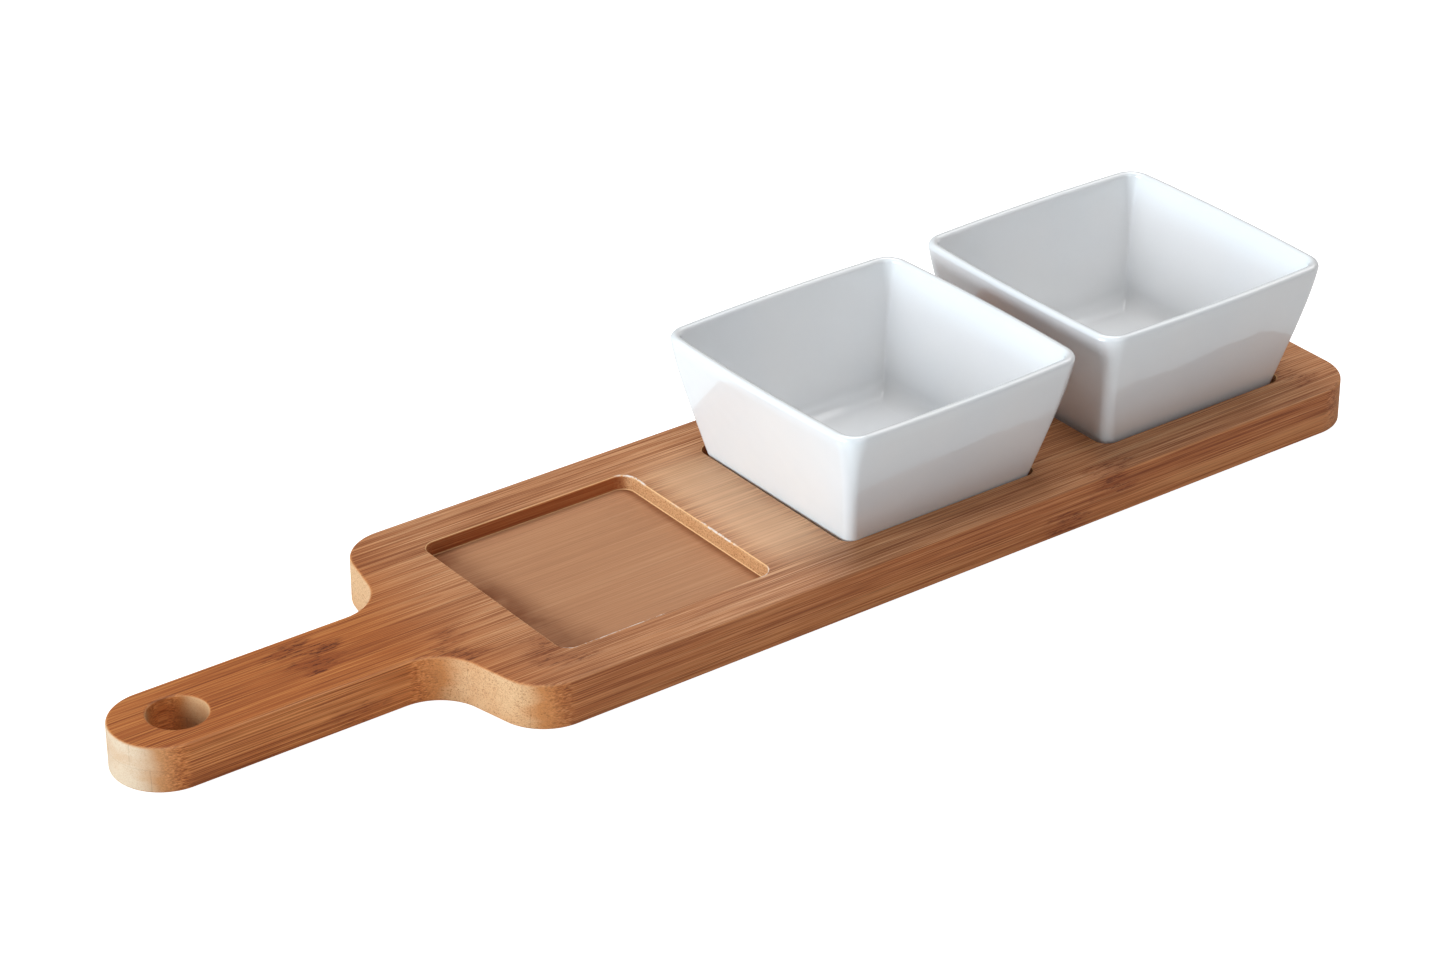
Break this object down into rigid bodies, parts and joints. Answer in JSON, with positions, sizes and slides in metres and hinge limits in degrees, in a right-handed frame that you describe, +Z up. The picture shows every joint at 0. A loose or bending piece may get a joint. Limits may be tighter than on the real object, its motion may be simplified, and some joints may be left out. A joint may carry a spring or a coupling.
{
  "type": "chip and dip server",
  "caption": "Bamboo paddle board with a rounded handle, hanging hole and a row of square recesses that hold flared square porcelain dip bowls.",
  "frame": {"origin": "on the underside, at the middle of the board's length and width", "axes": "+X from the handle's tip to the far end, +Y across the board, +Z up out of the bowls"},
  "size_m": [0.459, 0.114, 0.0604],
  "materials": {
    "bamboo": "oiled, satin, with fine lengthwise grain",
    "porcelain": "white gloss glaze"
  },
  "bodies": {
    "board": {"top_strip_1": "bamboo", "top_strip_2": "bamboo", "top_strip_3": "bamboo", "top_strip_4": "bamboo", "top_strip_5": "bamboo", "top_strip_6": "bamboo", "bottom_strip_1": "bamboo", "bottom_strip_2": "bamboo", "bottom_strip_3": "bamboo", "bottom_strip_4": "bamboo", "bottom_strip_5": "bamboo", "bottom_strip_6": "bamboo", "bottom_strip_7": "bamboo"},
    "near_bowl": {"near_bowl": "porcelain"},
    "far_bowl": {"far_bowl": "porcelain"}
  },
  "joints": [
    {"name": "near_bowl_lift", "type": "slide", "parent": "board", "child": "near_bowl", "axis": [0, 0, 1], "range_m": [0, 0.06]},
    {"name": "far_bowl_lift", "type": "slide", "parent": "board", "child": "far_bowl", "axis": [0, 0, 1], "range_m": [0, 0.06]}
  ]
}
